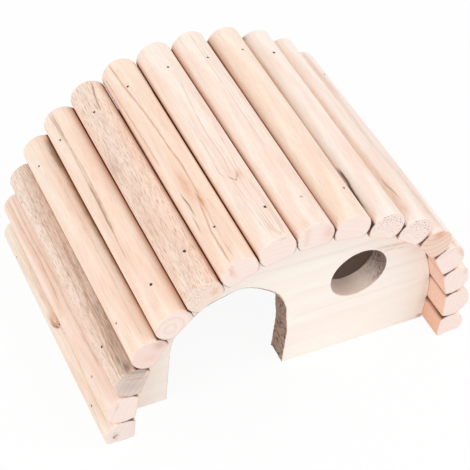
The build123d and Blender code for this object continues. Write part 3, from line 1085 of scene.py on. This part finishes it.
def flat_face(rims, inner):
    """Triangles between a face's rims and its inner points: a Delaunay net that
    keeps every rim's edges. The outline runs counter-clockwise and a hole clockwise,
    so the wood is what all rims enclose. The triangles are numbered by rims, then
    inner, and run counter-clockwise in (x, z)."""
    ends = np.cumsum([0] + [len(rim) for rim in rims])
    loops = [list(range(start, end)) for start, end in zip(ends[:-1], ends[1:])]
    flat = np.concatenate([*rims, inner]).tolist()
    inside_loops, tolerance = 1, 1e-9
    _, _, faces, origins, _, holders = delaunay_2d_cdt(flat, [], loops, inside_loops, tolerance)
    kept = [face for face, holder in zip(faces, holders) if len(holder) == len(rims)]
    numbers = np.array([origin[0] for origin in origins])
    return numbers[np.array(kept)]


def board_walls(sizes, doorway, front, seed):
    """The walls of a board, round its outline and in its window if it has one: their
    points, how rough each point is sawn, half as much on a wall's two rims, their
    quads, and the numbers of the rims' points, for its front and for its rear face."""
    loops = [arch_loop(sizes, doorway, LONG_STEP)]
    if doorway:
        window = (sizes.window_x, sizes.window_z)
        ring = arc(window, sizes.window_radius, 0, -2 * math.pi, WINDOW_STEP)[:-1]
        loops.append((ring, np.full(len(ring), BORED)))
    points, cut, quads, rims, start = [], [], [], ([], []), 0
    for index, (loop, sawn) in enumerate(loops):
        wall = wall_rows(loop, sizes, front, sawn, seed + index * 10)
        rows, columns = wall.shape[:2]
        rough = np.ones((rows, 1)) * np.maximum(sawn, TRIMMED)
        rough[[0, -1]] *= 0.5
        points.append(wall.reshape(-1, 3))
        cut.append(rough.reshape(-1, 1))
        quads.append(tube_quads(rows, columns, start))
        rims[0].append(start + np.arange(columns))
        rims[1].append(start + (rows - 1) * columns + np.arange(columns))
        start += rows * columns
    return np.concatenate(points), np.concatenate(cut), np.concatenate(quads), rims


def build_board(node, doorway, front, scene, seed):
    """A board on edge: its walls, and two faces that dip by a soft noise. cut is how
    rough the walls are sawn, and 0 on the faces. The front board alone has marks, on
    its front face."""
    sizes = scene.hamster_house_boards
    walls, cut, quads, rims = board_walls(sizes, doorway, front, seed)
    inner = face_points(sizes, doorway)
    points, triangles = walls, []
    for rim, level, turn in ((rims[0], front, 1), (rims[1], front + BOARD_THICKNESS, -1)):
        numbers = np.concatenate([*rim, len(points) + np.arange(len(inner))])
        corners = numbers[flat_face([walls[part][:, [0, 2]] for part in rim], inner)]
        triangles.append(corners[:, ::turn])
        waves = smooth_noise(inner[:, 0] / (30 * MM), inner[:, 1] / (7 * MM), seed + turn)
        y = level + turn * 0.1 * MM * (1 + waves)
        points = np.concatenate([points, np.stack([inner[:, 0], y, inner[:, 1]], 1)])
    cut = np.concatenate([cut, np.zeros((len(points) - len(cut), 1))])

    x, y, z = points.T / MM
    back_height = np.full(len(z), SLAT_HEIGHT / MM)
    marks = marks_of(BOARD_MARKS if doorway else [], z, back_height, x, seed)
    marks *= (y < (front + BOARD_THICKNESS / 2) / MM)[:, None] * (1 - cut)
    material = sawn_board(f"sawn_softwood_{node.split('_')[0]}", shared_tints(scene))
    piece = mesh_object(f"{node}_wood", points, quads, np.concatenate(triangles),
                        {"grain": points[:, [2, 1, 0]], "cut": cut, "marks": marks}, material)
    dress(piece, node)


class HOUSE_OT_front_board(bpy.types.Operator):
    """Make the front board with its doorway and round window"""

    bl_idname = "hamster_house.front_board"
    bl_label = "Front board"

    def execute(self, context):
        build_board("front_board", True, FRONT_BOARD_Y, context.scene, seed=40)
        return {"FINISHED"}


class HOUSE_OT_rear_board(bpy.types.Operator):
    """Make the plain rear board"""

    bl_idname = "hamster_house.rear_board"
    bl_label = "Rear board"

    def execute(self, context):
        build_board("rear_board", False, REAR_BOARD_Y, context.scene, seed=60)
        return {"FINISHED"}


# ==== brads =====================================================================
class HOUSE_OT_brads(bpy.types.Operator):
    """Give the brads their dull steel"""

    bl_idname = "hamster_house.brads"
    bl_label = "Brads"

    def execute(self, context):
        steel = drawn_steel("drawn_steel_brads", shared_tints(context.scene))
        for name in ("front_brads", "rear_brads"):
            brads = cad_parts.get(name)
            if brads is None:
                raise RuntimeError(f"the frame has no {name}")
            for slot in brads.material_slots:
                slot.link = "OBJECT"
                slot.material = steel
        return {"FINISHED"}


# ==== stage =====================================================================
WHITE = linear("#ffffff")


def seen_as_background(tree):
    """1 for the camera's rays and for those that a gloss or a glass sends on, so that
    they all see the same white, and 0 for the rays that light the house."""
    path = add(tree, "LightPath").outputs
    seen = path["Is Camera Ray"]
    for kind in ("Is Glossy Ray", "Is Transmission Ray"):
        seen = add(tree, "Math", {0: seen, 1: path[kind]}, operation="MAXIMUM")
    return seen


def white_table(studio):
    """White seamless paper, which takes the house's shadow. The camera sees it near
    white, but inside the house, at its right and at its rear, that white fades out
    and the paper shows only the light that reaches it."""
    material, tree = new_material("white_paper")
    place = add(tree, "TexCoord").outputs["Object"]
    x, y, _ = add(tree, "SeparateXYZ", {0: place}).outputs
    right = add(tree, "MapRange", {0: x, 1: 26 * MM, 2: 36 * MM}, interpolation_type="SMOOTHSTEP")
    rear = add(tree, "MapRange", {0: y, 1: 2 * MM, 2: 14 * MM}, interpolation_type="SMOOTHSTEP")
    deep = add(tree, "Math", {0: right, 1: rear}, operation="MAXIMUM")
    for way, half in ((y, board_high.y), (x, ARCH_RADIUS)):
        off = add(tree, "Math", {0: way}, operation="ABSOLUTE")
        under = add(tree, "Math", {0: off, 1: half}, operation="LESS_THAN")
        deep = add(tree, "Math", {0: deep, 1: under}, operation="MULTIPLY")
    paper = add(tree, "BsdfPrincipled", {
        "Base Color": linear("#f4f4f4"), "Roughness": 0.9, "Specular IOR Level": 0.1})
    glow = add(tree, "Emission", {"Color": WHITE, "Strength": 1.0})
    glowing = add(tree, "MapRange", {0: deep, 3: studio.paper_glow, 4: 0.0})
    amount = add(tree, "Math", {0: seen_as_background(tree), 1: glowing}, operation="MULTIPLY")
    surface = add(tree, "MixShader", {0: amount, 1: paper, 2: glow})
    add(tree, "OutputMaterial", {"Surface": surface})
    return material


def lamp(name, place, power):
    """A square soft lamp that faces the middle of the house."""
    aim, size = (0, 0, 0.05), 0.8
    data = bpy.data.lights.new(name, "AREA")
    data.shape, data.size, data.energy = "SQUARE", size, power
    light = placed(name, data)
    light.location = place
    light.rotation_euler = (Vector(aim) - Vector(place)).to_track_quat("-Z", "Y").to_euler()


def camera(studio):
    """The camera, behind its aim point by its distance at its two angles, then
    rolled about its own axis."""
    turn, rise = studio.azimuth, studio.elevation
    back = Vector((math.sin(turn) * math.cos(rise), -math.cos(turn) * math.cos(rise),
                   math.sin(rise)))
    level = Vector((0, 0, 1)).cross(back).normalized()
    upright = back.cross(level)
    right = level * math.cos(studio.roll) + upright * math.sin(studio.roll)
    up = back.cross(right)
    data = bpy.data.cameras.new("camera")
    data.lens, data.sensor_width = studio.lens, 36.0
    data.clip_start, data.clip_end = 0.01, 20.0
    view = placed("camera", data)
    view.matrix_world = Matrix((right, up, back)).transposed().to_4x4()
    view.location = Vector(studio.aim) + back * studio.distance
    bpy.context.scene.camera = view


class HOUSE_OT_stage(bpy.types.Operator):
    """Set the table, the white surround, the lamps and the camera"""

    bl_idname = "hamster_house.stage"
    bl_label = "Stage"

    def execute(self, context):
        scene, studio = context.scene, context.scene.hamster_house_studio
        reach = 3.0     # from the middle of the table to its edges, in metres
        mesh = bpy.data.meshes.new("table")
        mesh.from_pydata([(-reach, -reach, 0), (reach, -reach, 0), (reach, reach, 0),
                          (-reach, reach, 0)], [], [(0, 1, 2, 3)])
        mesh.materials.append(white_table(studio))
        placed("table", mesh)

        scene.world = bpy.data.worlds.new("surround")
        scene.world.use_nodes = True
        tree = scene.world.node_tree
        tree.nodes.clear()
        strength = add(tree, "MapRange", {0: seen_as_background(tree), 3: studio.sky, 4: 1.0})
        light = add(tree, "Background", {"Color": WHITE, "Strength": strength})
        add(tree, "OutputWorld", {"Surface": light})

        lamp("key", (0.6, -0.5, 1.2), studio.key)
        lamp("fill", (-1.2, -0.7, 0.6), studio.fill)
        camera(studio)
        scene.view_settings.view_transform = "Standard"
        return {"FINISHED"}


# ==== the add-on ================================================================
class HOUSE_PT_panel(bpy.types.Panel):
    """Hamster house tools"""

    bl_idname = "HOUSE_PT_panel"
    bl_label = "Hamster House"
    bl_space_type = "VIEW_3D"
    bl_region_type = "UI"
    bl_category = "Hamster House"

    def draw(self, context):
        for operator in OPERATORS:
            self.layout.operator(operator.bl_idname)
        for name in GROUPS:
            group = getattr(context.scene, name)
            box = self.layout.box()
            for key in group.__annotations__:
                box.prop(group, key)


OPERATORS = (HOUSE_OT_stage, HOUSE_OT_front_board, HOUSE_OT_rear_board, HOUSE_OT_slats,
             HOUSE_OT_brads)
GROUPS = {
    "hamster_house_slats": SlatSizes,
    "hamster_house_boards": BoardSizes,
    "hamster_house_tints": WoodTints,
    "hamster_house_studio": StudioSettings,
}
CLASSES = (*GROUPS.values(), *OPERATORS, HOUSE_PT_panel)


def register():
    """Register the classes and hang their settings on the scene."""
    for each in CLASSES:
        bpy.utils.register_class(each)
    for name, group in GROUPS.items():
        setattr(bpy.types.Scene, name, bpy.props.PointerProperty(type=group))


def unregister():
    """Take the settings and the classes away again."""
    for name in GROUPS:
        delattr(bpy.types.Scene, name)
    for each in reversed(CLASSES):
        bpy.utils.unregister_class(each)


def main():
    """Dress the house."""
    register()
    for operator in OPERATORS:
        module, name = operator.bl_idname.split(".")
        getattr(getattr(bpy.ops, module), name)()


if __name__ == "__main__":
    main()
